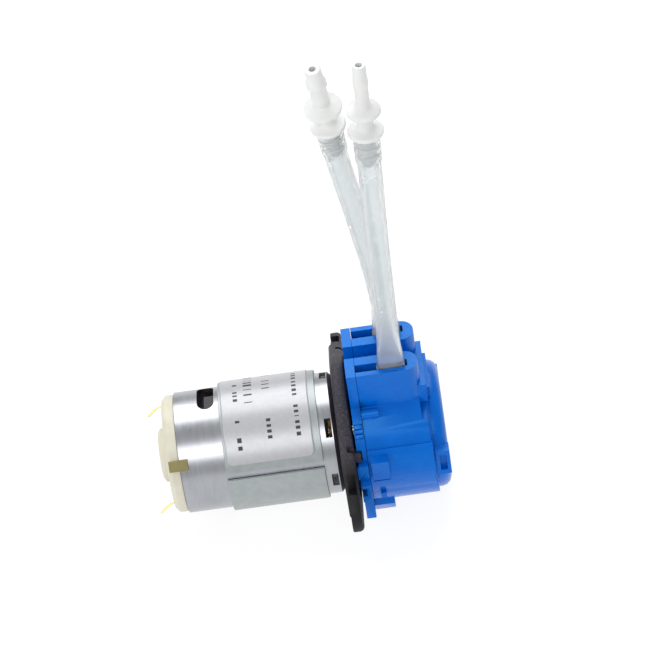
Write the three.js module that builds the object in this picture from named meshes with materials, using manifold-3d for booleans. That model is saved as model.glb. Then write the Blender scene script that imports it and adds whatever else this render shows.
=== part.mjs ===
// Small direct-current peristaltic dosing pump lying on its side, tubes upwards.
// Millimetres, +Z up. The motor's axis runs along X, from the terminals (-X) to the pump head (+X).
// Every piece is drawn about the motor's axis with x = 0 at the mounting plate's rear face,
// and the whole group is then moved so that the origin is the middle of the footprint.
import * as THREE from "three";
import { mergeVertices } from "three/addons/utils/BufferGeometryUtils.js";
import Module from "manifold-3d";

const wasm = await Module();
wasm.setup();

// ---------------------------------------------------------------- driving dimensions
const GAP = 0.15; // between pieces that touch

const CAN_R = 13.7, // drawn steel can
  CAN_WALL = 0.8,
  CAN_REAR = -35.8,
  CAN_FRONT = -0.2,
  RING_R = 14.55, // flux ring round the can
  RING_X = [-25.7, -3.9],
  RING_GAP_DEG = 71, // split, from +Z towards -Y
  LABEL_X = [-25.3, -5.4],
  LABEL_DEG = [-108, 60],
  CAP_REAR = -38.7, // plastic end cap
  CAP_BOSS_REAR = -40.6,
  TERMINAL_TIP = -42.5,
  SHAFT_R = 1.15,
  SHAFT_X = [-39.3, 17.6];

const PLATE_T = 3.15, // mounting plate
  PLATE_R = 17.2,
  EAR_Y = 23.85, // half of the 47.7 mm hole spacing
  EAR_R = 5.0,
  EAR_HOLE_R = 1.45,
  EAR_BACK = 0.6;

const BASE_X = [3.65, 5.75], // rear plate of the pump head
  BASE_R = 16.6,
  FLOOR_Z = -17.4, // lowest face of the head
  BODY_X = [5.85, 20.8], // housing
  BODY_R = 15.25, // lower part of its outline
  BODY_Z = -1.9,
  SHOULDER_R = 16.0, // upper part of its outline
  SHOULDER_Z = 0.7,
  TRACK_R = 12.75, // wall that the tube is pressed against
  PORT_Y = 4.65, // centre of each tube port
  PORT_W = 5.7,
  PORT_TOP = 25.0,
  PORT_END = 19.7,
  SLOT_Y = 5.2, // centre of the slot in each port
  SLOT_W = 2.2,
  SLOT_X = [6.3, 17.4],
  COVER_X = [20.84, 23.9],
  COVER_R = 14.4,
  COVER_Z = -1.5;

const TUBE_D = 5.0, // exposed tube
  TUBE_X = 13.85,
  TUBE_TOP = 92.2,
  BAND_R = [11.2, 12.6], // tube as it lies flattened on the track
  BAND_X = [10.6, 16.9];

const SLEEVE_R = 2.9, // friction drive: sleeve, three rollers, tube
  ROLLER_R = 4.0,
  ROLLER_RC = 7.0, // rollers' centres
  ROLLER_X = [9.0, 18.0],
  PIN_R = 0.95;

// ---------------------------------------------------------------- helpers
const V = (x, y, z) => new THREE.Vector3(x, y, z);
const EXTRUDE_X = new THREE.Matrix4().makeBasis(V(0, 1, 0), V(0, 0, 1), V(1, 0, 0));
const LATHE_X = new THREE.Matrix4().makeBasis(V(0, 1, 0), V(1, 0, 0), V(0, 0, -1));
const rad = (d) => (d * Math.PI) / 180;

// a three.js geometry as a closed solid, with its faces outwards
function solid(geometry) {
  const g = geometry.index ? geometry.toNonIndexed() : geometry;
  const bare = new THREE.BufferGeometry().setAttribute("position", g.getAttribute("position"));
  const m = mergeVertices(bare, 1e-4);
  const all = m.index.array,
    keep = [];
  for (let i = 0; i < all.length; i += 3) {
    const [a, b, c] = [all[i], all[i + 1], all[i + 2]];
    if (a !== b && b !== c && c !== a) keep.push(a, b, c);
  }
  const make = (t) =>
    new wasm.Manifold(
      new wasm.Mesh({ numProp: 3, vertProperties: m.attributes.position.array, triVerts: new Uint32Array(t) }),
    );
  let s = make(keep);
  if (s.volume() < 0) {
    const flip = [];
    for (let i = 0; i < keep.length; i += 3) flip.push(keep[i], keep[i + 2], keep[i + 1]);
    s = make(flip);
  }
  return s;
}
function geometryOf(s) {
  const mesh = s.getMesh(),
    n = mesh.numProp,
    count = mesh.vertProperties.length / n,
    p = new Float32Array(count * 3);
  for (let i = 0; i < count; i++) for (let k = 0; k < 3; k++) p[3 * i + k] = mesh.vertProperties[n * i + k];
  const g = new THREE.BufferGeometry();
  g.setAttribute("position", new THREE.BufferAttribute(p, 3));
  g.setIndex(new THREE.BufferAttribute(new Uint32Array(mesh.triVerts), 1));
  g.computeVertexNormals();
  return g;
}
const union = (first, ...rest) => rest.reduce((a, b) => a.add(b), first);
const cut = (first, ...rest) => rest.reduce((a, b) => a.subtract(b), first);

function box(x, y, z) {
  const g = new THREE.BoxGeometry(x[1] - x[0], y[1] - y[0], z[1] - z[0]);
  g.translate((x[0] + x[1]) / 2, (y[0] + y[1]) / 2, (z[0] + z[1]) / 2);
  return solid(g);
}
// the same box turned about the X axis by deg, towards -Y for a positive angle
function turned(geometry, deg) {
  geometry.applyMatrix4(new THREE.Matrix4().makeRotationX(rad(deg)));
  return geometry;
}
function boxTurned(x, y, z, deg) {
  const g = new THREE.BoxGeometry(x[1] - x[0], y[1] - y[0], z[1] - z[0]);
  g.translate((x[0] + x[1]) / 2, (y[0] + y[1]) / 2, (z[0] + z[1]) / 2);
  return solid(turned(g, deg));
}
function cylX(r, x, y = 0, z = 0, n = 32) {
  const g = new THREE.CylinderGeometry(r, r, x[1] - x[0], n);
  g.rotateZ(-Math.PI / 2);
  g.translate((x[0] + x[1]) / 2, y, z);
  return solid(g);
}
// profile [[x, r], ...] closed, turned about the X axis
function latheX(profile, n = 48) {
  const g = new THREE.LatheGeometry(profile.map(([x, r]) => new THREE.Vector2(r, x)), n);
  g.applyMatrix4(LATHE_X);
  return solid(g);
}
function ringX(r0, r1, x, n = 48) {
  return latheX([[x[0], r0], [x[1], r0], [x[1], r1], [x[0], r1], [x[0], r0]], n);
}
function prismX(points, x) {
  const shape = new THREE.Shape(points.map(([y, z]) => new THREE.Vector2(y, z)));
  const g = new THREE.ExtrudeGeometry(shape, { depth: x[1] - x[0], bevelEnabled: false });
  g.applyMatrix4(EXTRUDE_X);
  g.translate(x[0], 0, 0);
  return solid(g);
}
// polar point in the YZ plane, deg from +Z towards -Y
const polar = (r, deg) => [-r * Math.sin(rad(deg)), r * Math.cos(rad(deg))];
function arc(r, from, to, n) {
  const out = [];
  for (let i = 0; i <= n; i++) out.push(polar(r, from + ((to - from) * i) / n));
  return out;
}
// part of a ring between two angles
function sector(r0, r1, from, to, x, n) {
  return prismX([...arc(r1, from, to, n), ...arc(r0, to, from, n)], x);
}
// a band of constant thickness along a path in the YZ plane
function band(path, t, x) {
  const left = [],
    right = [];
  path.forEach((p, i) => {
    const a = path[Math.max(0, i - 1)],
      b = path[Math.min(path.length - 1, i + 1)];
    const d = new THREE.Vector2(b[0] - a[0], b[1] - a[1]).normalize();
    left.push([p[0] - (d.y * t) / 2, p[1] + (d.x * t) / 2]);
    right.push([p[0] + (d.y * t) / 2, p[1] - (d.x * t) / 2]);
  });
  return prismX([...left, ...right.reverse()], x);
}

const pump = new THREE.Group();
function add(name, shape, color, roughness, metalness) {
  const g = shape.getMesh ? geometryOf(shape) : shape;
  const mesh = new THREE.Mesh(g, new THREE.MeshStandardMaterial({ color, roughness, metalness }));
  mesh.name = name;
  pump.add(mesh);
  return mesh;
}

// ---------------------------------------------------------------- motor
// can: a cup, open at the rear, with a bearing boss on its front face
let can = latheX(
  [
    [CAN_REAR, CAN_R - CAN_WALL],
    [CAN_REAR, CAN_R],
    [CAN_FRONT - 0.8, CAN_R],
    [CAN_FRONT, CAN_R - 0.8],
    [CAN_FRONT, 5.0],
    [2.3, 5.0],
    [2.3, 3.1],
    [CAN_FRONT - 0.8, 3.1],
    [CAN_FRONT - 0.8, CAN_R - CAN_WALL],
    [CAN_REAR, CAN_R - CAN_WALL],
  ],
  64,
);
// two vent holes near the rear, round-ended, and six cooling slots at the front
for (const deg of [-20, 160]) {
  const half = 1.9;
  can = can.subtract(boxTurned([-28.6 - half, -28.6 + half], [-3.2, 3.2], [11.5, 15], deg));
  for (const y of [-3.2, 3.2]) {
    const g = new THREE.CylinderGeometry(half, half, 3.5, 20);
    g.rotateX(Math.PI / 2);
    g.translate(-28.6, y, 13.25);
    can = can.subtract(solid(turned(g, deg)));
  }
}
for (const deg of [38, 94, 150, 218, 274, 330])
  can = can.subtract(boxTurned([-2.7, -1.2], [-2.15, 2.15], [12, 15], deg));
for (const y of [-8, 8]) can = can.subtract(cylX(1.35, [-2, 1], y, 0, 20));
add("motor_can", can, 0xb9bdc2, 0.32, 0.9);

add(
  "flux_ring",
  sector(CAN_R + 0.1, RING_R, RING_GAP_DEG + 3.6, RING_GAP_DEG - 3.6 + 360, RING_X, 56),
  0xa5acac,
  0.42,
  0.8,
);
add("motor_label", sector(RING_R + 0.08, RING_R + 0.2, LABEL_DEG[0], LABEL_DEG[1], LABEL_X, 30), 0xe6e6f0, 0.35, 0.0);

// end cap: a flange on the can's rim, a plug inside it, and a bearing boss
let cap = union(
  latheX([
    [CAP_REAR, 0],
    [CAP_REAR, 12.4],
    [CAP_REAR + 0.9, 13.3],
    [CAN_REAR - GAP, 13.3],
    [CAN_REAR - GAP, 0],
  ]),
  ringX(10.6, CAN_R - CAN_WALL - 0.12, [CAN_REAR - GAP - 0.01, -33.2]),
  latheX([[CAP_BOSS_REAR, 0], [CAP_BOSS_REAR, 5.2], [CAP_BOSS_REAR + 0.5, 6.0], [CAP_REAR + 0.1, 6.4], [CAP_REAR + 0.1, 0]], 36),
);
cap = cut(
  cap,
  cylX(2.6, [CAP_REAR + 0.1, CAN_REAR + 1], 0, 0, 28),
  cylX(1.5, [CAP_BOSS_REAR - 1, CAP_REAR + 1], 0, 0, 24),
);
// slots that the two terminals pass through
const TERMINAL_DEG = [-46, 134];
for (const deg of TERMINAL_DEG) cap = cap.subtract(boxTurned([-45, -33], [-1.35, 1.35], [10.6, 11.4], deg));
add("motor_end_cap", cap, 0xe1dccd, 0.5, 0.0);

// tab moulded beside the cap's rim, over the can's edge
add(
  "cap_side_tab",
  boxTurned([-38.2, -33.9], [-1.25, 1.25], [CAN_R + 0.12, CAN_R + 0.75], 54),
  0xbeb982,
  0.55,
  0.0,
);

// terminals: thin strips through the cap, bent over outside it
TERMINAL_DEG.forEach((deg, i) => {
  const bend = deg < 0 ? -1 : 1; // both tips bend towards the table
  const pts = [
    [-34.2, 10.85], [-38.9, 10.85], [-40.2, 10.6], [-41.3, 9.9], [TERMINAL_TIP, 8.9],
    [TERMINAL_TIP + 0.35, 8.65], [-41.05, 9.55], [-40.05, 10.25], [-38.9, 10.5], [-34.2, 10.5],
  ].map(([x, z]) => [x, bend < 0 ? z : 21.35 - z]);
  const shape = new THREE.Shape(pts.map(([x, z]) => new THREE.Vector2(x, z)));
  const g = new THREE.ExtrudeGeometry(shape, { depth: 2.2, bevelEnabled: false });
  // drawn in X-Z, its width along Y
  g.applyMatrix4(new THREE.Matrix4().makeBasis(V(1, 0, 0), V(0, 0, 1), V(0, -1, 0)));
  g.translate(0, 1.1, 0.32);
  add("terminal_" + (i + 1), solid(turned(g, deg)), 0xe3d27c, 0.3, 0.9);
});

// brushes on the commutator, each on a spring arm from its terminal
TERMINAL_DEG.forEach((deg, i) => {
  add("brush_" + (i + 1), boxTurned([-34.4, -31.9], [-1.0, 1.0], [3.75, 5.6], deg), 0x3b3836, 0.7, 0.2);
  add("brush_arm_" + (i + 1), boxTurned([-34.1, -32.3], [-0.9, 0.9], [5.7, 10.3], deg), 0xc98a4e, 0.35, 0.9);
});

for (const [i, deg] of [[1, 44], [2, 224]])
  add("magnet_" + i, sector(10.75, CAN_R - CAN_WALL - 0.12, deg - 68, deg + 68, [-29, -7], 16), 0x4a4a4c, 0.6, 0.1);

// armature: five poles on the shaft, windings in the slots and over both ends
function core(extra) {
  let s = cylX(3.4 + extra, [-27 - extra, -10 + extra], 0, 0, 28);
  for (let i = 0; i < 5; i++) {
    s = s.add(boxTurned([-27 - extra, -10 + extra], [-1.5 - extra, 1.5 + extra], [0, 9.6], i * 72));
    s = s.add(sector(8.6 - extra, 10.2 + extra * 0, i * 72 - 30 - extra * 4, i * 72 + 30 + extra * 4, [-27 - extra, -10 + extra], 6));
  }
  return s;
}
add("armature_core", core(0).subtract(cylX(SHAFT_R + 0.08, [-30, -5], 0, 0, 20)), 0x77797d, 0.45, 0.8);
add(
  "armature_windings",
  cut(
    latheX([[-30.3, 0], [-30.3, 7.4], [-29.2, 8.5], [-7.8, 8.5], [-6.7, 7.4], [-6.7, 0]], 30),
    core(0.12),
    cylX(SHAFT_R + 0.12, [-35, 0], 0, 0, 20),
  ),
  0xb4622c,
  0.35,
  0.7,
);
add("commutator", ringX(SHAFT_R + 0.08, 3.6, [-34.9, -30.6], 30), 0xc07a45, 0.3, 0.9);
add("motor_shaft", cylX(SHAFT_R, SHAFT_X, 0, 0, 20), 0xc9ccd0, 0.2, 1.0);
add("rear_bushing", ringX(SHAFT_R + 0.06, 2.5, [CAP_REAR + 0.25, -36.2], 24), 0xa8834a, 0.4, 0.8);
add("front_bushing", ringX(SHAFT_R + 0.06, 3.0, [-2.2, 2.0], 24), 0xa8834a, 0.4, 0.8);
add("thrust_washer", ringX(SHAFT_R + 0.08, 2.4, [-3.0, -2.4], 24), 0x33383a, 0.5, 0.0);

// ---------------------------------------------------------------- mounting plate
function plateOutline(inset = 0) {
  const pts = [];
  // tangent from the ear's tip circle to the body circle
  const d = EAR_Y,
    a = Math.acos((PLATE_R - EAR_R) / d) * (180 / Math.PI);
  // angles measured from the +Y direction, counter-clockwise in the YZ plane
  const P = (cy, r, deg) => [cy + r * Math.cos(rad(deg)), r * Math.sin(rad(deg))];
  for (let i = 0; i <= 14; i++) pts.push(P(d, EAR_R - inset, -a + (2 * a * i) / 14));
  for (let i = 0; i <= 14; i++) pts.push(P(0, PLATE_R - inset, a + ((180 - 2 * a) * i) / 14));
  for (let i = 0; i <= 14; i++) pts.push(P(-d, EAR_R - inset, 180 - a + (2 * a * i) / 14));
  for (let i = 0; i <= 14; i++) pts.push(P(0, PLATE_R - inset, 180 + a + ((180 - 2 * a) * i) / 14));
  return pts;
}
let plate = cut(
  // rims rounded in three steps on both faces
  wasm.Manifold.hull([
    prismX(plateOutline(0.9), [0, PLATE_T]),
    prismX(plateOutline(0.3), [0.3, PLATE_T - 0.3]),
    prismX(plateOutline(), [0.9, PLATE_T - 0.9]),
  ]),
  cylX(5.2, [-1, 5], 0, 0, 32),
  cylX(EAR_HOLE_R, [-1, 5], EAR_Y, 0, 24),
  cylX(EAR_HOLE_R, [-1, 5], -EAR_Y, 0, 24),
);
for (const y of [-8, 8])
  plate = cut(plate, cylX(1.35, [-1, 5], y, 0, 20), latheX([[1.6, 0], [1.6, 1.36], [3.3, 2.7], [3.3, 0]], 20).translate([0, y, 0]));
// pockets in the flanks of the ears, and shallow grooves beside them
for (const s of [-1, 1]) {
  const y = s < 0 ? [-24.4, -20.4] : [20.4, 24.4];
  plate = plate.subtract(box([-1, 2.6], y, [2.4, 12]));
  const y2 = s < 0 ? [-16.2, -14.9] : [14.9, 16.2];
  plate = plate.subtract(box([1.6, 4], y2, [8.6, 14]));
  // the ear's rear face is set back from the body's
  plate = plate.subtract(box([-1, EAR_BACK], s < 0 ? [-30, -19.0] : [19.0, 30], [-12, 12]));
}
// four hooks that hold the pump head
for (const deg of [64, 87, -64, -87]) plate = plate.add(boxTurned([2.6, 4.5], [-1.0, 1.0], [14.6, 17.6], deg));
add("mounting_plate", plate, 0x2d2c31, 0.75, 0.0);

for (const [i, y] of [[1, -8], [2, 8]])
  add(
    "plate_screw_" + i,
    cut(
      latheX([[-3.6, 0], [-3.6, 1.2], [1.7, 1.2], [2.95, 2.3], [2.95, 0]], 20).translate([0, y, 0]),
      box([2.2, 4], [y - 1.5, y + 1.5], [-0.25, 0.25]),
      box([2.2, 4], [y - 0.25, y + 0.25], [-1.5, 1.5]),
    ),
    0xb8bbc0,
    0.3,
    0.9,
  );

// ---------------------------------------------------------------- pump head
// path of the flattened tube: down one port, round the track and up the other
const MID = (BAND_R[0] + BAND_R[1]) / 2;
function tubePath(top) {
  const half = [];
  const p0 = [-SLOT_Y, 17.2],
    p3 = polar(MID, 52),
    t3 = [-Math.cos(rad(52)), -Math.sin(rad(52))];
  half.push([-SLOT_Y, top]);
  if (top > 21) half.push([-SLOT_Y, 20.5]);
  const c1 = [p0[0], p0[1] - 3.4],
    c2 = [p3[0] - t3[0] * 3.4, p3[1] - t3[1] * 3.4];
  for (let i = 0; i <= 9; i++) {
    const t = i / 9,
      u = 1 - t;
    half.push([0, 1].map((k) => u * u * u * p0[k] + 3 * u * u * t * c1[k] + 3 * u * t * t * c2[k] + t * t * t * p3[k]));
  }
  const loop = arc(MID, 52, 308, 40).slice(1, -1);
  return [...half, ...loop, ...half.map(([y, z]) => [-y, z]).reverse()];
}

// rear plate of the head
let base = union(
  cylX(BASE_R, BASE_X, 0, 0, 56),
  prismX([[-14.6, -14.4], [-11.6, FLOOR_Z], [11.6, FLOOR_Z], [14.6, -14.4], [14.6, 0], [-14.6, 0]], BASE_X),
  box(BASE_X, [-(PORT_Y + PORT_W / 2), PORT_Y + PORT_W / 2], [0, PORT_TOP]),
  // lugs over the ears
  box(BASE_X, [-20.4, 20.4], [-2.1, 3.1]),
);
// gap between the two ports, and edge tabs that reach back over the plate's rim
base = base.subtract(box([3, 8], [-(PORT_Y - PORT_W / 2), PORT_Y - PORT_W / 2], [14.8, 30]));
for (const deg of [75.5, -75.5]) base = base.add(boxTurned(BASE_X, [-1.9, 1.9], [15.5, 18.6], deg));
for (const deg of [75.5, -75.5]) base = base.add(boxTurned([3.3, 3.8], [-1.5, 1.5], [17.35, 18.6], deg));
// grip ridges on the rim
for (const mid of [45, -45])
  for (const d of [-3.6, 0, 3.6]) base = base.add(boxTurned([BASE_X[0] + 0.2, BASE_X[1] - 0.2], [-0.38, 0.38], [16.2, 17.0], mid + d));
// windows for the plate's hooks, the shaft opening
for (const deg of [64, 87, -64, -87]) base = base.subtract(boxTurned([3, 4.75], [-1.2, 1.2], [14.4, 21], deg));
base = base.subtract(cylX(4.2, [0, 10], 0, 0, 32));
add("head_base", base, 0x2f7fe0, 0.38, 0.0);

// housing: round body with two open-ended U-shaped tube ports
let body = union(
  cylX(BODY_R, BODY_X, 0, BODY_Z, 60),
  cylX(SHOULDER_R, [BODY_X[0], 20.3], 0, SHOULDER_Z, 60).subtract(box([19.0, 22], [-17, 17], [12.2, 20])),
  // wider band low on each side
  sector(13, 16.9, 60.5, 84, [BODY_X[0], 20.5], 10),
  sector(13, 16.9, -84, -60.5, [BODY_X[0], 20.5], 10),
  // lower skirt beside the base, flat underneath
  prismX([[-12.4, -12.8], [-9.6, FLOOR_Z], [9.6, FLOOR_Z], [12.4, -12.8], [9, -6], [-9, -6]], [BODY_X[0], 10.4]),
);
for (const s of [-1, 1]) {
  const y = [s * PORT_Y - PORT_W / 2, s * PORT_Y + PORT_W / 2];
  body = body.add(box([BODY_X[0], PORT_END - PORT_W / 2], y, [0, PORT_TOP]));
  const g = new THREE.CylinderGeometry(PORT_W / 2, PORT_W / 2, PORT_TOP, 28);
  g.rotateX(Math.PI / 2);
  g.translate(PORT_END - PORT_W / 2, s * PORT_Y, PORT_TOP / 2);
  body = body.add(solid(g));
}
// web between the ports, and the stepped block behind them
body = body.add(box([BODY_X[0], 17.0], [-3, 3], [8, 15.2]));
body = body.add(box([16.6, 20.9], [-6.7, 6.7], [13.25, 18.7]));
body = body.add(box([16.6, 21.6], [-5.2, 5.2], [13.25, 16.2]));
// cavity for the rotor, ports for the tube
body = body.subtract(cylX(TRACK_R, [0, 30], 0, 0, 64));
const corridor = tubePath(30);
const clear = [BAND_R[1] - BAND_R[0] + 0.5, [0, 17.4]];
body = body.subtract(band(corridor, clear[0], clear[1]));
for (const s of [-1, 1]) {
  const y = [s * SLOT_Y - SLOT_W / 2, s * SLOT_Y + SLOT_W / 2];
  body = body.subtract(box([0, SLOT_X[1] - SLOT_W / 2], y, [15.2, 30]));
  const g = new THREE.CylinderGeometry(SLOT_W / 2, SLOT_W / 2, 15, 24);
  g.rotateX(Math.PI / 2);
  g.translate(SLOT_X[1] - SLOT_W / 2, s * SLOT_Y, 22.7);
  body = body.subtract(solid(g));
}
// catch blocks, ribs and stops on both sides
for (const s of [-1, 1]) {
  const out = s < 0 ? [-17.7, -14.2] : [14.2, 17.7];
  body = body.add(box([6.5, 10.3], out, [1.7, 7.3]));
  body = body.subtract(box([6.5, 10.3], s < 0 ? [-17.7, -15.5] : [15.5, 17.7], [-0.6, 1.7]));
  body = body.add(cylX(1.15, [5.85, 9.6], s * 8.9, 14.15, 16));
  body = body.add(box([7.6, 8.9], s < 0 ? [-15.9, -13.6] : [13.6, 15.9], [-6.4, -4.9]));
}
// front rim that the cover sits on
body = body.add(ringX(11.9, 14.0, [18.9, BODY_X[1]], 60));
add("pump_housing", body, 0x1f6fd8, 0.36, 0.0);

// front cover: a rounded cap with an upper collar and two clips
let cover = latheX(
  [
    [COVER_X[0], 0],
    [COVER_X[0], COVER_R],
    [21.8, COVER_R],
    [22.7, COVER_R - 0.3],
    [23.45, COVER_R - 1.0],
    [COVER_X[1], COVER_R - 2.2],
    [COVER_X[1], 0],
  ],
  60,
).translate([0, 0, COVER_Z]);
cover = cover.subtract(cylX(11.4, [15, 22.0], 0, 0, 48));
for (const s of [-1, 1]) {
  const deg = s < 0 ? 84 : -98;
  cover = cover.add(boxTurned([COVER_X[0], 24.0], [-3.4, 3.4], [12.4, 15.1], deg));
  cover = cover.subtract(boxTurned([21.7, 23.2], [-2.2, 2.2], [14.0, 16], deg));
}
// spigot that centres the rotor, and room for the ports' round ends
cover = cover.add(ringX(1.4, 3.2, [20.2, 22.6], 24));
for (const s of [-1, 1]) {
  const g = new THREE.CylinderGeometry(PORT_W / 2 + 0.15, PORT_W / 2 + 0.15, PORT_TOP, 28);
  g.rotateX(Math.PI / 2);
  g.translate(PORT_END - PORT_W / 2, s * PORT_Y, PORT_TOP / 2);
  cover = cover.subtract(solid(g));
}
add("front_cover", cover, 0x2878e0, 0.34, 0.0);

// ---------------------------------------------------------------- rotor
const ROLLER_DEG = [180, 300, 60],
  CARRIER_R = 10.6;
let back = ringX(3.5, CARRIER_R, [7.2, 8.7], 40);
for (const deg of ROLLER_DEG) {
  const [y, z] = polar(ROLLER_RC, deg);
  back = back.subtract(cylX(PIN_R + 0.06, [7, 9.5], y, z, 16));
}
for (const deg of ROLLER_DEG) {
  const [y, z] = polar(8.7, deg + 60);
  back = union(back, cylX(1.5, [8.3, 18.25], y, z, 14), cylX(0.9, [18.0, 19.5], y, z, 14));
}
add("rotor_carrier_back", back, 0xe9e9e6, 0.5, 0.0);
let front = ringX(1.3, CARRIER_R, [18.35, 19.5], 40);
for (const deg of ROLLER_DEG) {
  const [y, z] = polar(ROLLER_RC, deg);
  front = front.subtract(cylX(PIN_R + 0.06, [18, 21], y, z, 16));
  const [y2, z2] = polar(8.7, deg + 60);
  front = front.subtract(cylX(1.0, [18, 21], y2, z2, 16));
}
add("rotor_carrier_front", front, 0xe9e9e6, 0.5, 0.0);
ROLLER_DEG.forEach((deg, i) => {
  const [y, z] = polar(ROLLER_RC, deg);
  add("roller_" + (i + 1), ringX(PIN_R + 0.1, ROLLER_R, ROLLER_X, 32).translate([0, y, z]), 0xf2f2ef, 0.4, 0.0);
  add("roller_pin_" + (i + 1), cylX(PIN_R, [7.2, 19.5], y, z, 16), 0xc9ccd0, 0.2, 1.0);
});
add("drive_sleeve", ringX(SHAFT_R + 0.06, SLEEVE_R, [7.0, 18.1], 32), 0xd8d2c2, 0.6, 0.0);

// ---------------------------------------------------------------- tube
add("tube_loop", band(tubePath(PORT_TOP - 0.2), BAND_R[1] - BAND_R[0], BAND_X), 0xe8ecec, 0.3, 0.0);

// exposed tubes, each with a barbed connector in its end
const RUNS = [
  ["inlet", [V(TUBE_X, -SLOT_Y, PORT_TOP + 0.15), V(14.15, -5.3, 40), V(14.65, -4.6, 62), V(15.3, -3.6, 80), V(15.6, -3.2, TUBE_TOP)]],
  ["outlet", [V(TUBE_X, SLOT_Y, PORT_TOP + 0.15), V(13.4, 5.0, 40), V(11.1, 4.2, 62), V(9.0, 2.6, 80), V(8.1, 1.4, TUBE_TOP - 1)]],
];
for (const [name, points] of RUNS) {
  const curve = new THREE.CatmullRomCurve3(points, false, "centripetal");
  const ring = [];
  for (let i = 0; i < 12; i++) ring.push(new THREE.Vector2(Math.cos(rad(i * 30)), Math.sin(rad(i * 30))).multiplyScalar(TUBE_D / 2));
  const g = new THREE.ExtrudeGeometry(new THREE.Shape(ring), { steps: 9, extrudePath: curve, bevelEnabled: false });
  add(name + "_tube", solid(g), 0xe8ecec, 0.3, 0.0);
  // connector: flange, neck and one barb, along the tube's end
  const end = curve.getPoint(1),
    dir = curve.getTangent(1);
  const lathe = new THREE.LatheGeometry(
    [[0, 0.3], [3.6, 0.3], [3.75, 1.3], [1.9, 2.4], [1.7, 5.0], [3.7, 6.0], [3.7, 6.9], [1.9, 7.7], [1.6, 12.0], [2.1, 13.4], [1.6, 18.5], [0, 18.5]].map(
      ([r, y]) => new THREE.Vector2(r, y),
    ),
    24,
  );
  lathe.applyMatrix4(new THREE.Matrix4().makeRotationFromQuaternion(new THREE.Quaternion().setFromUnitVectors(V(0, 1, 0), dir)));
  lathe.translate(end.x, end.y, end.z);
  add(name + "_connector", solid(lathe), 0xf4f4f2, 0.35, 0.0);
}

// origin: middle of the footprint without the free tubes, on the surface that the head stands on
const SHIFT_X = -(TERMINAL_TIP + 24.0) / 2;
pump.position.set(SHIFT_X, 0, -FLOOR_Z);

export default pump;
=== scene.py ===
import bpy, bmesh, math
from mathutils import Vector, Matrix


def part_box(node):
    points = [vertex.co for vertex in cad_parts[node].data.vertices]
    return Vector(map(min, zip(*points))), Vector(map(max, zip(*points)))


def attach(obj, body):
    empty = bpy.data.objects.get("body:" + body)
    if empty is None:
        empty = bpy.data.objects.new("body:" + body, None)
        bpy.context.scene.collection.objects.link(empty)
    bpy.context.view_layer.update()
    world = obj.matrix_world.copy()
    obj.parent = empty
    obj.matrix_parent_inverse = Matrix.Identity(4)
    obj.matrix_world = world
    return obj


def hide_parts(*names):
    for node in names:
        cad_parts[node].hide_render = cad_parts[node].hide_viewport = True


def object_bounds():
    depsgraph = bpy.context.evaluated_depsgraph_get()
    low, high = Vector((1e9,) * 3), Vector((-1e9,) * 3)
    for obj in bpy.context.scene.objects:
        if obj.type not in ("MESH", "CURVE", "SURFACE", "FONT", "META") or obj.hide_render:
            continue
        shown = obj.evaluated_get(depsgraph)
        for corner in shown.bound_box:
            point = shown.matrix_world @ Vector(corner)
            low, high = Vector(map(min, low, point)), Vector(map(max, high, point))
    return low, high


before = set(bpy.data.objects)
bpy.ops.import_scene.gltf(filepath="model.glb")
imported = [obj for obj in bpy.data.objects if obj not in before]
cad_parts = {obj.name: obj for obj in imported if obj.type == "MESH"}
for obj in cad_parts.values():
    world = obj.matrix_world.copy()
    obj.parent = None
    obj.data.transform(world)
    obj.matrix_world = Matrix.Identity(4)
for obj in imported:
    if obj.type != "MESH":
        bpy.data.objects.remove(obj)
CAD_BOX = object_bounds()
MM = 0.001

# ------------------------------------------------------------------ places, from the frame
X0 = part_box("mounting_plate")[0][0]  # plate's rear face
_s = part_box("motor_shaft")
AX_Y = (_s[0][1] + _s[1][1]) / 2
AX_Z = (_s[0][2] + _s[1][2]) / 2  # motor's axis
ROOT = "motor_and_head"


def P(x, y, z):
    """A point in millimetres about the motor's axis, x from the plate's rear face, in the row frame."""
    return Vector((X0 + x * MM, AX_Y + y * MM, AX_Z + z * MM))


# ------------------------------------------------------------------ camera
ELEV, AZIM, ROLL = math.radians(46.0), math.radians(2.0), math.radians(9.3)
DIST = 0.75
LENS = 181.0
fwd = Vector((-math.sin(AZIM) * math.cos(ELEV), math.cos(AZIM) * math.cos(ELEV), -math.sin(ELEV)))
right0 = Vector((math.cos(AZIM), math.sin(AZIM), 0))
up0 = right0.cross(fwd)
right = right0 * math.cos(ROLL) - up0 * math.sin(ROLL)
up = up0 * math.cos(ROLL) + right0 * math.sin(ROLL)
target = P(1.6, 0, 0) + right * (-16 / 4.42 * MM) + up * (100 / 4.42 * MM)
cam_data = bpy.data.cameras.new("camera")
cam_data.lens = LENS
cam_data.sensor_width = 36
cam_data.clip_start = 0.01
cam = bpy.data.objects.new("camera", cam_data)
bpy.context.scene.collection.objects.link(cam)
m = Matrix((right, up, -fwd)).transposed().to_4x4()
m.translation = target - fwd * DIST
cam.matrix_world = m
bpy.context.scene.camera = cam


# ------------------------------------------------------------------ materials
def srgb(r, g, b):
    f = lambda c: (c / 255 / 12.92) if c / 255 <= 0.04045 else ((c / 255 + 0.055) / 1.055) ** 2.4
    return (f(r), f(g), f(b), 1.0)


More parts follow.
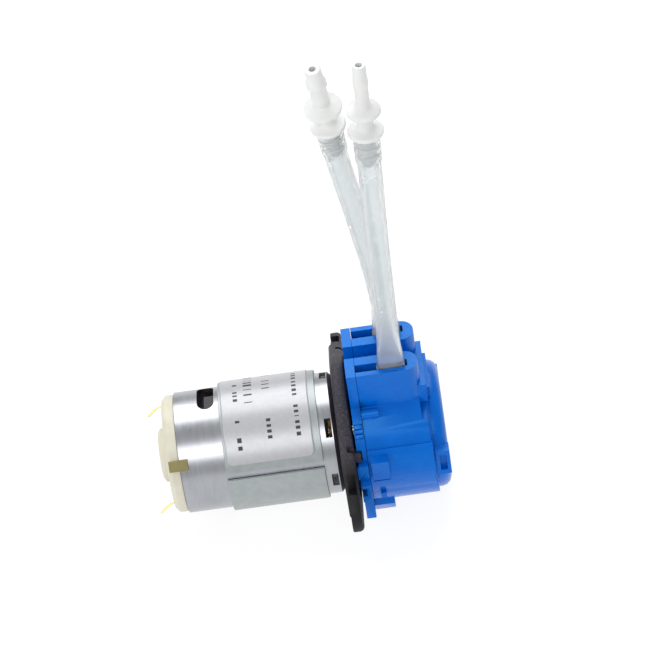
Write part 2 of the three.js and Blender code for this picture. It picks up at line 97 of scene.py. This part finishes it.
class Mat:
    def __init__(self, name):
        self.m = bpy.data.materials.new(name)
        self.m.use_nodes = True
        self.t = self.m.node_tree
        self.b = self.t.nodes["Principled BSDF"]
        self.out = self.t.nodes["Material Output"]

    def n(self, kind, **values):
        node = self.t.nodes.new(kind)
        for k, v in values.items():
            setattr(node, k, v)
        return node

    def link(self, a, b):
        self.t.links.new(a, b)

    def set(self, **values):
        for k, v in values.items():
            self.b.inputs[k.replace("_", " ")].default_value = v
        return self

    def coords(self, scale=(1, 1, 1)):
        c = self.n("ShaderNodeTexCoord")
        mp = self.n("ShaderNodeMapping")
        mp.inputs["Scale"].default_value = scale
        self.link(c.outputs["Object"], mp.inputs["Vector"])
        return mp.outputs["Vector"]

    def noise(self, vec, scale, detail=4, rough=0.5):
        x = self.n("ShaderNodeTexNoise")
        x.inputs["Scale"].default_value = scale
        x.inputs["Detail"].default_value = detail
        x.inputs["Roughness"].default_value = rough
        self.link(vec, x.inputs["Vector"])
        return x.outputs["Fac"]

    def ramp(self, fac, stops):
        r = self.n("ShaderNodeValToRGB")
        e = r.color_ramp.elements
        while len(e) < len(stops):
            e.new(0.5)
        for el, (p, c) in zip(e, stops):
            el.position = p
            el.color = c
        self.link(fac, r.inputs["Fac"])
        return r.outputs["Color"]

    def to_range(self, fac, lo, hi, out_lo, out_hi):
        r = self.n("ShaderNodeMapRange")
        r.inputs["From Min"].default_value = lo
        r.inputs["From Max"].default_value = hi
        r.inputs["To Min"].default_value = out_lo
        r.inputs["To Max"].default_value = out_hi
        self.link(fac, r.inputs["Value"])
        return r.outputs["Result"]

    def bump(self, *layers):
        """layers of (height, strength, distance in m), chained into the shader's normal"""
        last = None
        for h, s, d in layers:
            b = self.n("ShaderNodeBump")
            b.inputs["Strength"].default_value = s
            b.inputs["Distance"].default_value = d
            self.link(h, b.inputs["Height"])
            if last is not None:
                self.link(last, b.inputs["Normal"])
            last = b.outputs["Normal"]
        self.link(last, self.b.inputs["Normal"])
        return self

    def color(self, out):
        self.link(out, self.b.inputs["Base Color"])
        return self

    def rough(self, out):
        self.link(out, self.b.inputs["Roughness"])
        return self


def plastic(name, dark, light, rough=(0.3, 0.42), scale=260, bump=0.05, sss=0.0, coat=0.0, spec=0.5):
    a = Mat(name)
    v = a.coords()
    n1 = a.noise(v, scale, 3)
    n2 = a.noise(v, 2600, 5, 0.6)
    a.color(a.ramp(n1, [(0.3, dark), (0.7, light)]))
    a.rough(a.to_range(n1, 0.3, 0.7, rough[0], rough[1]))
    a.bump((n1, bump * 0.5, 0.0002), (n2, bump, 0.00004))
    a.set(Specular_IOR_Level=spec, Coat_Weight=coat, Coat_Roughness=0.2)
    if sss:
        a.set(Subsurface_Weight=sss, Subsurface_Radius=(0.6, 0.8, 1.0), Subsurface_Scale=0.001)
    return a.m


def metal(name, dark, light, rough=(0.22, 0.34), stretch=(1, 1, 1), scale=900, bump=0.06):
    a = Mat(name)
    v = a.coords(stretch)
    n1 = a.noise(v, scale, 6, 0.6)
    n2 = a.noise(a.coords(), 130, 3)
    mix = a.n("ShaderNodeMath", operation="ADD")
    a.link(n1, mix.inputs[0])
    a.link(n2, mix.inputs[1])
    half = a.n("ShaderNodeMath", operation="MULTIPLY")
    a.link(mix.outputs[0], half.inputs[0])
    half.inputs[1].default_value = 0.5
    a.color(a.ramp(half.outputs[0], [(0.35, dark), (0.65, light)]))
    a.rough(a.to_range(half.outputs[0], 0.35, 0.65, rough[0], rough[1]))
    a.bump((n1, bump, 0.00003))
    a.set(Metallic=1.0)
    return a.m


BLUE = plastic("head_blue", srgb(0, 95, 197), srgb(0, 101, 205), (0.24, 0.30), 240, 0.015, 0.0, 0.0, 0.45)
BLUE.node_tree.nodes["Principled BSDF"].inputs["Specular Tint"].default_value = (0.25, 0.75, 1.0, 1.0)
BLACK = Mat("plate_black")
_v = BLACK.coords()
_g = BLACK.noise(_v, 2300, 6, 0.7)
_g2 = BLACK.noise(_v, 420, 3)
_grain = BLACK.ramp(_g, [(0.32, srgb(30, 28, 34)), (0.55, srgb(56, 53, 61)), (0.75, srgb(92, 88, 98))])
# the grained rim gives way to plain near-black on the two ears: the ears' smoother face without grain, darkened with
# painted shade
_geo = BLACK.n("ShaderNodeNewGeometry")
_sy = BLACK.n("ShaderNodeSeparateXYZ")
BLACK.link(_geo.outputs["Position"], _sy.inputs[0])
_ab = BLACK.n("ShaderNodeMath", operation="ABSOLUTE")
BLACK.link(_sy.outputs[1], _ab.inputs[0])
_ear_shade_mask = BLACK.to_range(_ab.outputs[0], 0.0172, 0.0205, 0.0, 1.0)
_grain_and_ear_shade = BLACK.n("ShaderNodeMix", data_type="RGBA")
BLACK.link(_ear_shade_mask, _grain_and_ear_shade.inputs["Factor"])
BLACK.link(_grain, _grain_and_ear_shade.inputs["A"])
# painted shade: this near-black colour on the ears stands in for the shade that falls on them
_grain_and_ear_shade.inputs["B"].default_value = srgb(14, 14, 19)
BLACK.color(_grain_and_ear_shade.outputs["Result"])
BLACK.rough(BLACK.to_range(_g2, 0.3, 0.7, 0.5, 0.66))
BLACK.bump((_g2, 0.12, 0.0002), (_g, 0.55, 0.00012))
BLACK.set(Specular_IOR_Level=0.35)
BLACK = BLACK.m
CAN = metal("can_steel", srgb(164, 167, 172), srgb(178, 181, 185), (0.27, 0.33), (9, 1, 1), 160, 0.03)
RING = plastic("ring_steel", srgb(158, 165, 166), srgb(170, 176, 176), (0.38, 0.44), 500, 0.02)
RING.node_tree.nodes["Principled BSDF"].inputs["Metallic"].default_value = 0.55
CAP = plastic("cap_cream", srgb(208, 204, 186), srgb(218, 214, 197), (0.42, 0.55), 300, 0.08, 0.15)
TAB = plastic("tab_olive", srgb(128, 118, 68), srgb(142, 132, 80), (0.4, 0.5), 600, 0.08, 0.1)
BRASS = metal("terminal_brass", srgb(178, 150, 84), srgb(206, 180, 110), (0.2, 0.34), (1, 1, 1), 900, 0.08)
BRONZE = metal("bronze", srgb(150, 112, 60), srgb(176, 138, 80), (0.35, 0.5))
SPRING = metal("spring_copper", srgb(196, 128, 76), srgb(220, 156, 100), (0.25, 0.35))
CARBON = plastic("carbon", srgb(26, 26, 27), srgb(44, 43, 42), (0.6, 0.8), 900, 0.2)
FERRITE = plastic("ferrite", srgb(48, 47, 50), srgb(66, 64, 66), (0.55, 0.7), 900, 0.2)
CORE = metal("core_steel", srgb(92, 94, 98), srgb(140, 142, 146), (0.35, 0.5), (60, 1, 1), 60, 0.3)
COPPER = metal("winding_copper", srgb(160, 82, 40), srgb(206, 118, 62), (0.22, 0.4), (1, 1, 1), 1500, 0.6)
COMM = metal("commutator_copper", srgb(186, 110, 70), srgb(212, 140, 98), (0.2, 0.35), (1, 30, 1), 100, 0.2)
STEEL = metal("shaft_steel", srgb(196, 198, 202), srgb(222, 224, 228), (0.12, 0.22), (1, 1, 1), 700, 0.04)
SCREW = metal("screw_steel", srgb(170, 172, 178), srgb(206, 208, 212), (0.22, 0.34))
WASHER = plastic("washer_dark", srgb(38, 42, 44), srgb(56, 60, 62), (0.4, 0.5), 600, 0.1)
ACETAL = plastic("rotor_white", srgb(228, 228, 222), srgb(240, 240, 236), (0.35, 0.45), 300, 0.05, 0.2)
RUBBER = plastic("sleeve_rubber", srgb(206, 198, 178), srgb(220, 212, 194), (0.5, 0.7), 600, 0.15)
CONN = plastic("connector_white", srgb(222, 223, 222), srgb(229, 230, 229), (0.32, 0.42), 300, 0.05, 0.2)

# translucent milky silicone
SIL = Mat("tube_silicone")
_v = SIL.coords()
_n = SIL.noise(_v, 220, 4)
SIL.color(SIL.ramp(_n, [(0.3, srgb(240, 245, 247)), (0.7, srgb(249, 252, 252))]))
SIL.rough(SIL.to_range(_n, 0.3, 0.7, 0.2, 0.28))
SIL.bump((_n, 0.08, 0.0002), (SIL.noise(_v, 1500, 4), 0.05, 0.00005))
SIL.set(Transmission_Weight=0.86, IOR=1.41, Subsurface_Weight=0.2, Subsurface_Radius=(1, 1, 1), Subsurface_Scale=0.002, Specular_IOR_Level=0.5)
SIL = SIL.m

# silver film label with generic printed bars and dashes; its u runs along the axis and v round the can, in tenths of a millimetre
LABEL = Mat("label_film")
_uv = LABEL.n("ShaderNodeUVMap")
_sep = LABEL.n("ShaderNodeSeparateXYZ")
LABEL.link(_uv.outputs["UV"], _sep.inputs[0])


def L_math(op, a, b=None):
    n = LABEL.n("ShaderNodeMath", operation=op)
    for i, x in enumerate((a, b)):
        if x is None:
            continue
        if isinstance(x, (int, float)):
            n.inputs[i].default_value = x
        else:
            LABEL.link(x, n.inputs[i])
    return n.outputs[0]


def L_in(coord, lo, hi):
    return L_math("MULTIPLY", L_math("GREATER_THAN", coord, lo), L_math("LESS_THAN", coord, hi))


def L_rect(u0, u1, v0, v1):
    return L_math("MULTIPLY", L_in(_sep.outputs[0], u0, u1), L_in(_sep.outputs[1], v0, v1))


# label's u is millimetres from its left edge, v is millimetres of arc from its lower edge
marks = []
for v0, t in [(14.2, 0.35), (16.4, 0.7), (18.4, 0.35), (19.9, 1.15), (21.3, 0.8), (22.7, 0.35), (24.2, 0.35), (25.4, 0.95), (26.9, 0.4), (28.0, 0.6)]:
    marks.append((5.0, 7.5, v0, v0 + t))
for u0, u1, runs in [
    (2.7, 4.0, [(3.2, 4.5), (4.9, 6.4), (9.4, 10.2), (15.0, 16.1), (16.5, 17.2), (17.6, 18.4), (20.6, 21.6)]),
    (9.6, 10.9, [(5.0, 6.0), (6.3, 7.3), (7.6, 8.5), (8.9, 9.9)]),
    (9.2, 11.4, [(18.0, 18.5), (19.6, 20.1), (21.2, 21.7), (25.6, 26.1)]),
    (16.0, 17.3, [(4.8, 6.0), (6.3, 7.3), (7.6, 8.5), (9.2, 9.5), (10.1, 11.0), (11.4, 12.3), (14.6, 15.4), (15.8, 17.0), (17.4, 18.4), (18.8, 19.6), (20.4, 21.4), (21.8, 22.8), (23.2, 24.2)]),
]:
    for a, b in runs:
        marks.append((u0, u1, a, b))
ink = None
for u0, u1, v0, v1 in marks:
    ku = 0.12 * (u1 - u0)
    x = L_rect(u0 + ku, u1 - ku, v0, v0 + (v1 - v0) * 0.72)
    ink = x if ink is None else L_math("MAXIMUM", ink, x)
_ln = LABEL.noise(LABEL.coords(), 900, 5)
film = LABEL.ramp(_ln, [(0.3, srgb(180, 181, 185)), (0.7, srgb(187, 187, 191))])
mixc = LABEL.n("ShaderNodeMix", data_type="RGBA")
LABEL.link(ink, mixc.inputs["Factor"])
LABEL.link(film, mixc.inputs["A"])
mixc.inputs["B"].default_value = srgb(48, 48, 54)
LABEL.color(mixc.outputs["Result"])
LABEL.link(LABEL.to_range(ink, 0, 1, 0.25, 0.0), LABEL.b.inputs["Metallic"])
LABEL.rough(LABEL.to_range(ink, 0, 1, 0.33, 0.5))
LABEL.bump((_ln, 0.03, 0.00003))
LABEL = LABEL.m


# ------------------------------------------------------------------ mesh tools
def link(name, mesh, mat, body=ROOT, replaces=()):
    o = bpy.data.objects.new(name, mesh)
    bpy.context.scene.collection.objects.link(o)
    if mat is not None:
        mesh.materials.clear()
        mesh.materials.append(mat)
    if replaces:
        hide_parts(*replaces)
    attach(o, body)
    return o


def smooth(mesh, deg=35):
    for p in mesh.polygons:
        p.use_smooth = True
    mesh.set_sharp_from_angle(angle=math.radians(deg))


def use(o):
    bpy.context.view_layer.objects.active = o


def apply_mods(o):
    dg = bpy.context.evaluated_depsgraph_get()
    me = bpy.data.meshes.new_from_object(o.evaluated_get(dg), depsgraph=dg)
    o.modifiers.clear()
    old = o.data
    o.data = me
    bpy.data.meshes.remove(old)
    return o


def refined(node, name, mat, body=ROOT, width=0.25, segments=3, angle=28, merge=0.02):
    """The CAD node's shape with its flats cleaned and every sharp edge rounded as a moulding's is."""
    src = bpy.data.objects[node]
    me = src.data.copy()
    me.transform(src.matrix_world)
    bm = bmesh.new()
    bm.from_mesh(me)
    bmesh.ops.remove_doubles(bm, verts=bm.verts, dist=merge * MM)
    bmesh.ops.dissolve_degenerate(bm, edges=bm.edges, dist=0.01 * MM)
    bmesh.ops.dissolve_limit(bm, angle_limit=math.radians(1.2), verts=bm.verts, edges=bm.edges)
    bm.to_mesh(me)
    bm.free()
    o = link(name, me, mat, body, (node,))
    b = o.modifiers.new("round", "BEVEL")
    b.width = width * MM
    b.segments = segments
    b.limit_method = "ANGLE"
    b.angle_limit = math.radians(angle)
    b.use_clamp_overlap = True
    b.harden_normals = True
    b.miter_outer = "MITER_ARC"
    smooth(me, 40)
    apply_mods(o)
    return o


def lathe_mesh(name, profile, n=128, centre=(0, 0), mat=None, closed=True, body=ROOT, replaces=(), sharp=35):
    """profile of (x, r) in millimetres turned about a line along X through centre (y, z)"""
    bm = bmesh.new()
    rings = []
    for i in range(n):
        a = 2 * math.pi * i / n
        row = []
        for x, r in profile:
            row.append(bm.verts.new(P(x, centre[0] + r * math.sin(a), centre[1] + r * math.cos(a))))
        rings.append(row)
    k = len(profile)
    for i in range(n):
        for j in range(k if closed else k - 1):
            a, b = rings[i][j], rings[i][(j + 1) % k]
            c, d = rings[(i + 1) % n][(j + 1) % k], rings[(i + 1) % n][j]
            try:
                bm.faces.new((a, b, c, d))
            except ValueError:
                pass
    bmesh.ops.remove_doubles(bm, verts=bm.verts, dist=1e-7)
    bmesh.ops.recalc_face_normals(bm, faces=bm.faces)
    me = bpy.data.meshes.new(name)
    bm.to_mesh(me)
    bm.free()
    smooth(me, sharp)
    return link(name, me, mat, body, replaces)


def rounded(points, r, n=4):
    """A closed polyline with its corners rounded; r may be a number or one per corner."""
    out = []
    N = len(points)
    for i, p in enumerate(points):
        rr = r[i] if isinstance(r, (list, tuple)) else r
        a, b, c = Vector(points[i - 1]), Vector(p), Vector(points[(i + 1) % N])
        d1, d2 = (a - b), (c - b)
        if rr <= 0 or d1.length < 1e-9 or d2.length < 1e-9:
            out.append(tuple(b))
            continue
        t = min(rr, d1.length * 0.49, d2.length * 0.49)
        s, e = b + d1.normalized() * t, b + d2.normalized() * t
        for k in range(n + 1):
            u = k / n
            q = s * (1 - u) ** 2 + b * 2 * u * (1 - u) + e * u * u
            out.append(tuple(q))
    return out


# ------------------------------------------------------------------ tubes and connectors first
TUBE_R, WALL = 2.5, 1.0
TUBE_X, PORT_Y, PORT_TOP, TUBE_TOP = 13.85, 5.2, 25.0, 92.2
RUNS = {
    "inlet": [(TUBE_X, -PORT_Y, PORT_TOP + 0.15), (14.15, -5.3, 40), (14.65, -4.6, 62), (15.3, -3.6, 80), (15.6, -3.2, TUBE_TOP)],
    "outlet": [(TUBE_X, PORT_Y, PORT_TOP + 0.15), (13.4, 5.0, 40), (11.1, 4.2, 62), (9.0, 2.6, 80), (8.1, 1.4, TUBE_TOP - 1)],
}


def centripetal(points, n):
    """The same centripetal Catmull-Rom curve as the CAD tube's, sampled n times a span."""
    pts = [Vector(p) for p in points]
    ext = [pts[0] * 2 - pts[1]] + pts + [pts[-1] * 2 - pts[-2]]
    out = []
    for i in range(1, len(ext) - 2):
        p = ext[i - 1 : i + 3]
        t = [0.0]
        for k in range(3):
            t.append(t[-1] + (p[k + 1] - p[k]).length ** 0.5)
        for j in range(n):
            u = t[1] + (t[2] - t[1]) * j / n
            A = [p[k] * ((t[k + 1] - u) / (t[k + 1] - t[k])) + p[k + 1] * ((u - t[k]) / (t[k + 1] - t[k])) for k in range(3)]
            B = [A[k] * ((t[k + 2] - u) / (t[k + 2] - t[k])) + A[k + 1] * ((u - t[k]) / (t[k + 2] - t[k])) for k in range(2)]
            out.append(B[0] * ((t[2] - u) / (t[2] - t[1])) + B[1] * ((u - t[1]) / (t[2] - t[1])))
    out.append(ext[-2])
    return out


def ease(t):
    t = max(0.0, min(1.0, t))
    return t * t * (3 - 2 * t)


def frame_at(line, i):
    a, b = line[max(0, i - 1)], line[min(len(line) - 1, i + 1)]
    d = (b - a).normalized()
    u = Vector((1, 0, 0))
    u = (u - d * u.dot(d)).normalized()
    return d, u, d.cross(u)


for name, pts in RUNS.items():
    s = -1 if name == "inlet" else 1
    start = [(TUBE_X, s * PORT_Y, 20.5), (TUBE_X, s * PORT_Y, 22.8)]
    line = [Vector(p) for p in start] + centripetal(pts, 14)
    ring_n = 40
    bm = bmesh.new()
    along = 0.0
    total = sum((line[i + 1] - line[i]).length for i in range(len(line) - 1))
    outer, inner = [], []
    for i, p in enumerate(line):
        if i:
            along += (p - line[i - 1]).length
        d, u, v = frame_at(line, i)
        k = ease((p.z - PORT_TOP + 1.0) / 11.0)  # squeezed in the slot, round above it
        a, b = 3.1 + (TUBE_R - 3.1) * k, 0.98 + (TUBE_R - 0.98) * k
        w = WALL * (0.45 + 0.55 * k)
        swell = ease((along - (total - 8.5)) / 2.0) * 0.32  # over the connector's tail
        a, b = a + swell, b + swell
        e = 1.0 - 0.25 * (1 - k)
        for rings, da in ((outer, 0.0), (inner, w)):
            row = []
            for j in range(ring_n):
                t = 2 * math.pi * j / ring_n
                c, sn = math.cos(t), math.sin(t)
                c = math.copysign(abs(c) ** e, c)
                sn = math.copysign(abs(sn) ** e, sn)
                q = p + u * ((a - da) * c) + v * ((b - da) * sn)
                row.append(bm.verts.new(P(*q)))
            rings.append(row)
    for i in range(len(line) - 1):
        for j in range(ring_n):
            k = (j + 1) % ring_n
            bm.faces.new((outer[i][j], outer[i][k], outer[i + 1][k], outer[i + 1][j]))
            bm.faces.new((inner[i][k], inner[i][j], inner[i + 1][j], inner[i + 1][k]))
    for j in range(ring_n):
        k = (j + 1) % ring_n
        bm.faces.new((outer[0][k], outer[0][j], inner[0][j], inner[0][k]))
        bm.faces.new((outer[-1][j], outer[-1][k], inner[-1][k], inner[-1][j]))
    bmesh.ops.recalc_face_normals(bm, faces=bm.faces)
    me = bpy.data.meshes.new(name + "_hose")
    bm.to_mesh(me)
    bm.free()
    smooth(me, 50)
    hose = link(name + "_hose", me, SIL, ROOT, (name + "_tube",))

    # connector: tail with barbs inside the tube, collar, waist, flange and outer stub
    d, u, v = frame_at(line, len(line) - 1)
    end = line[-1]
    top = 1.45 if name == "inlet" else 1.75
    bulb = 1.6 if name == "inlet" else 2.15
    wide = 3.6 if name == "inlet" else 4.0
    prof = [
        (0, -7.6), (1.35, -7.6), (1.5, -7.3), (1.95, -5.2), (1.95, -5.0), (1.45, -4.9), (1.5, -4.6), (1.95, -2.8), (1.95, -2.6), (1.5, -2.5), (1.5, 0.35),
        (3.5, 0.35), (3.75, 0.6), (3.8, 1.1), (3.6, 1.45), (2.3, 1.9), (1.75, 2.4), (1.6, 3.0), (1.6, 4.6), (1.9, 5.2), (wide - 0.25, 5.85), (wide, 6.1), (wide, 6.7), (wide - 0.2, 6.95), (2.2, 7.4), (1.7, 8.0),
        (top, 9.0), (top, 12.6), (bulb, 13.5), (bulb, 14.3), (top, 16.2), (top - 0.05, 18.2), (top - 0.2, 18.5), (0.75, 18.5), (0.75, 10.0), (0.0, 10.0),
    ]
    n = 56
    bm = bmesh.new()
    rows = []
    for i in range(n):
        t = 2 * math.pi * i / n
        rows.append([bm.verts.new(P(*(end + d * h + (u * math.cos(t) + v * math.sin(t)) * r))) for r, h in prof])
    for i in range(n):
        for j in range(len(prof) - 1):
            a = [rows[i][j], rows[i][j + 1], rows[(i + 1) % n][j + 1], rows[(i + 1) % n][j]]
            bm.faces.new(a)
    bmesh.ops.remove_doubles(bm, verts=bm.verts, dist=1e-7)
    bmesh.ops.recalc_face_normals(bm, faces=bm.faces)
    me = bpy.data.meshes.new(name + "_fitting")
    bm.to_mesh(me)
    bm.free()
    smooth(me, 40)
    conn = link(name + "_fitting", me, CONN, ROOT, (name + "_connector",))

# ------------------------------------------------------------------ motor
refined("motor_can", "can_shell", CAN, width=0.22, merge=0.01)
refined("flux_ring", "ring_shell", RING, width=0.12, segments=2)
refined("motor_end_cap", "cap_moulding", CAP, width=0.35)
refined("cap_side_tab", "side_tab", TAB, width=0.15)
for i in (1, 2):
    refined("terminal_%d" % i, "terminal_strip_%d" % i, BRASS, width=0.08, segments=2)

# label: a sheet with round corners
lab0, lab1 = -25.15, -5.55
A0, A1 = 60.0, -105.0
LR = 14.72
W, H = lab1 - lab0, math.radians(A0 - A1) * LR
outline = rounded([(0, 0), (W, 0), (W, H), (0, H)], 1.6, 8)
bm = bmesh.new()
nx, ny = 60, 120
uvl = bm.loops.layers.uv.new("UVMap")


def edge_inset(vv):
    """how far the round corner cuts in at height vv"""
    r = 1.3
    d = min(vv, H - vv)
    return 0.0 if d >= r else r - math.sqrt(max(0.0, r * r - (r - d) ** 2))


grid = []
vs = sorted(set([H * j / ny for j in range(ny + 1)] + [1.3 * (1 - math.cos(math.pi / 2 * q / 8)) for q in range(9)] + [H - 1.3 * (1 - math.cos(math.pi / 2 * q / 8)) for q in range(9)]))
for vv in vs:
    ins = edge_inset(vv)
    row = []
    for i in range(nx + 1):
        uu = ins + (W - 2 * ins) * i / nx
        ang = math.radians(A0) - vv / LR
        row.append((bm.verts.new(P(lab0 + uu, -LR * math.sin(ang), LR * math.cos(ang))), uu, vv))
    grid.append(row)
for j in range(len(grid) - 1):
    for i in range(nx):
        q = [grid[j][i], grid[j][i + 1], grid[j + 1][i + 1], grid[j + 1][i]]
        f = bm.faces.new([x[0] for x in q])
        for loop, x in zip(f.loops, q):
            loop[uvl].uv = (x[1], x[2])
bmesh.ops.recalc_face_normals(bm, faces=bm.faces)
me = bpy.data.meshes.new("label_sheet")
bm.to_mesh(me)
bm.free()
smooth(me, 60)
lab = link("label_sheet", me, LABEL, ROOT, ("motor_label",))
sol = lab.modifiers.new("thick", "SOLIDIFY")
sol.thickness = 0.06 * MM
sol.offset = 0
apply_mods(lab)

# ------------------------------------------------------------------ plate and head
refined("mounting_plate", "plate_moulding", BLACK, width=0.3)
refined("head_base", "base_moulding", BLUE, width=0.3)
refined("pump_housing", "housing_moulding", BLUE, width=0.3)
refined("front_cover", "cover_moulding", BLUE, width=0.4)

# ------------------------------------------------------------------ inner pieces keep their CAD shape
for node, mat in {
    "brush_1": CARBON, "brush_2": CARBON, "brush_arm_1": SPRING, "brush_arm_2": SPRING, "magnet_1": FERRITE, "magnet_2": FERRITE,
    "armature_core": CORE, "armature_windings": COPPER, "commutator": COMM, "motor_shaft": STEEL, "rear_bushing": BRONZE,
    "front_bushing": BRONZE, "thrust_washer": WASHER, "plate_screw_1": SCREW, "plate_screw_2": SCREW, "rotor_carrier_back": ACETAL,
    "rotor_carrier_front": ACETAL, "roller_1": ACETAL, "roller_2": ACETAL, "roller_3": ACETAL, "roller_pin_1": STEEL,
    "roller_pin_2": STEEL, "roller_pin_3": STEEL, "drive_sleeve": RUBBER, "tube_loop": SIL,
}.items():
    o = bpy.data.objects[node]
    if o.data.users > 1:
        pass
    for s in o.material_slots:
        s.material = mat
    if not o.material_slots:
        o.data.materials.append(mat)

# ------------------------------------------------------------------ floor, light
bpy.ops.mesh.primitive_plane_add(size=6, location=(0, 0, CAD_BOX[0][2] - 0.0001))
floor = bpy.context.object
floor.name = "floor"
fm = Mat("floor_white")
fm.set(Base_Color=(0.16, 0.16, 0.16, 1), Roughness=0.8, Specular_IOR_Level=0.05, Emission_Color=(1, 1, 1, 1), Emission_Strength=0.88)
floor.data.materials.append(fm.m)

world = bpy.data.worlds.new("world")
world.use_nodes = True
world.node_tree.nodes["Background"].inputs[0].default_value = (1, 1, 1, 1)
world.node_tree.nodes["Background"].inputs[1].default_value = 0.56
bpy.context.scene.world = world


def area(name, loc, look, size, power, size_y=None):
    d = bpy.data.lights.new(name, "AREA")
    d.energy = power
    d.size = size
    if size_y:
        d.shape = "RECTANGLE"
        d.size_y = size_y
    o = bpy.data.objects.new(name, d)
    bpy.context.scene.collection.objects.link(o)
    o.location = loc
    o.rotation_euler = (Vector(look) - Vector(loc)).to_track_quat("-Z", "Y").to_euler()
    return o


area("key_top", (0.02, 0.50, 0.68), (0, 0, 0.02), 0.7, 4.6)
area("left_soft", (-0.7, -0.35, 0.5), (0, 0, 0.02), 0.5, 1.6)
area("front_fill", (-0.1, -0.75, 0.75), (0, 0, 0.02), 0.5, 2.7)
bpy.context.scene.view_settings.view_transform = "Standard"
bpy.context.scene.view_settings.look = "None"
